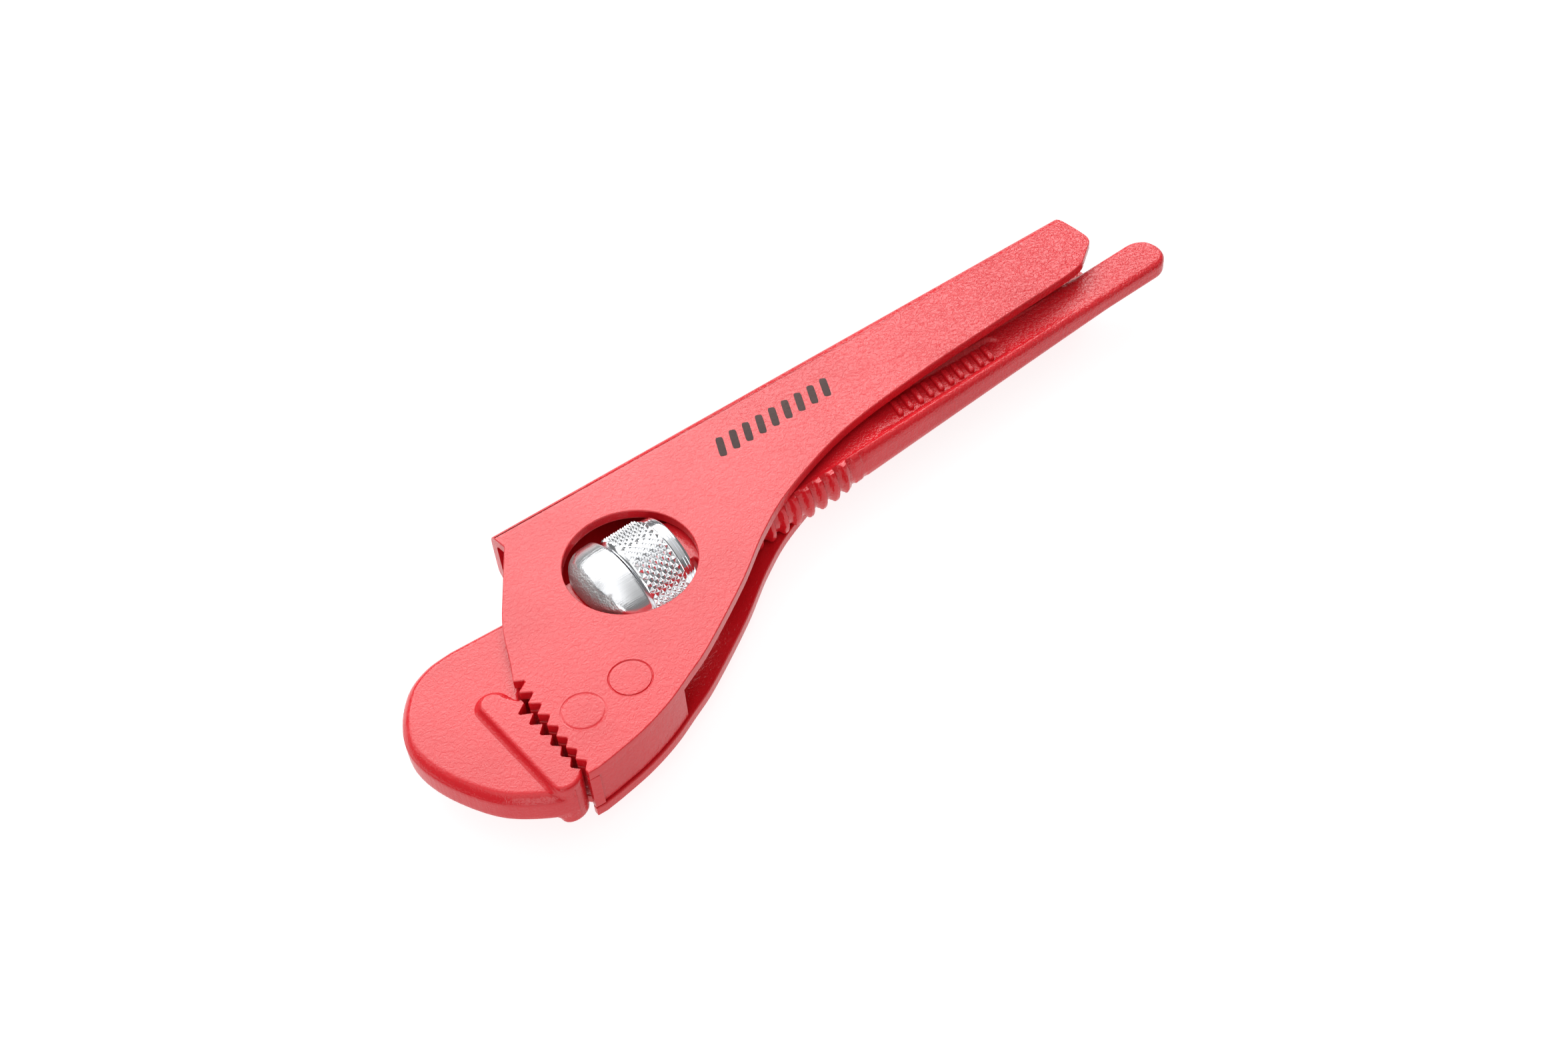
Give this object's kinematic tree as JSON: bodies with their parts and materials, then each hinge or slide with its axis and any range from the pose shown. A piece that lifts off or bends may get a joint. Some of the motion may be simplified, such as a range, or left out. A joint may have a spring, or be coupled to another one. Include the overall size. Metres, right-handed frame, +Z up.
{
  "type": "pipe wrench",
  "caption": "One-hand adjustable pipe wrench: folded channel handle with a toothed jaw, sliding hook jaw handle, knurled adjusting nut in a round window.",
  "frame": {"origin": "middle of the underside of the tool's box, lying on its side", "axes": "+X towards the handle ends, +Y towards the folded spine, +Z up through the window"},
  "size_m": [0.181, 0.0554, 0.0192],
  "materials": {
    "red_paint": "glossy red paint with a slight orange-peel",
    "chrome": "bright chrome, knurled on the nut"
  },
  "bodies": {
    "channel": {"channel_body": "red_paint", "lower_jaw": "red_paint", "rivet_front": "red_paint", "rivet_rear": "red_paint"},
    "saddle": {"rocker_saddle": "chrome"},
    "nut": {"adjusting_nut": "chrome"},
    "hook": {"hook_handle": "red_paint"}
  },
  "joints": [
    {"name": "handle_squeeze", "type": "hinge", "parent": "channel", "child": "saddle", "pos_m": [-0.04039, 0.0057, 0.0096], "axis": [0, 0, 1], "range_deg": [-8, 0]},
    {"name": "jaw_slide", "type": "slide", "parent": "saddle", "child": "hook", "axis": [-0.9993, -0.0375, 0], "range_m": [0, 0.027]},
    {"name": "nut_turn", "type": "hinge", "parent": "saddle", "child": "nut", "pos_m": [-0.04039, 0.0057, 0.0096], "axis": [0.9993, 0.0375, 0], "range_deg": [0, 3245]}
  ],
  "couplings": [
    {"joint": "nut_turn", "follows": "jaw_slide", "rad_per_m": 2094.4}
  ]
}
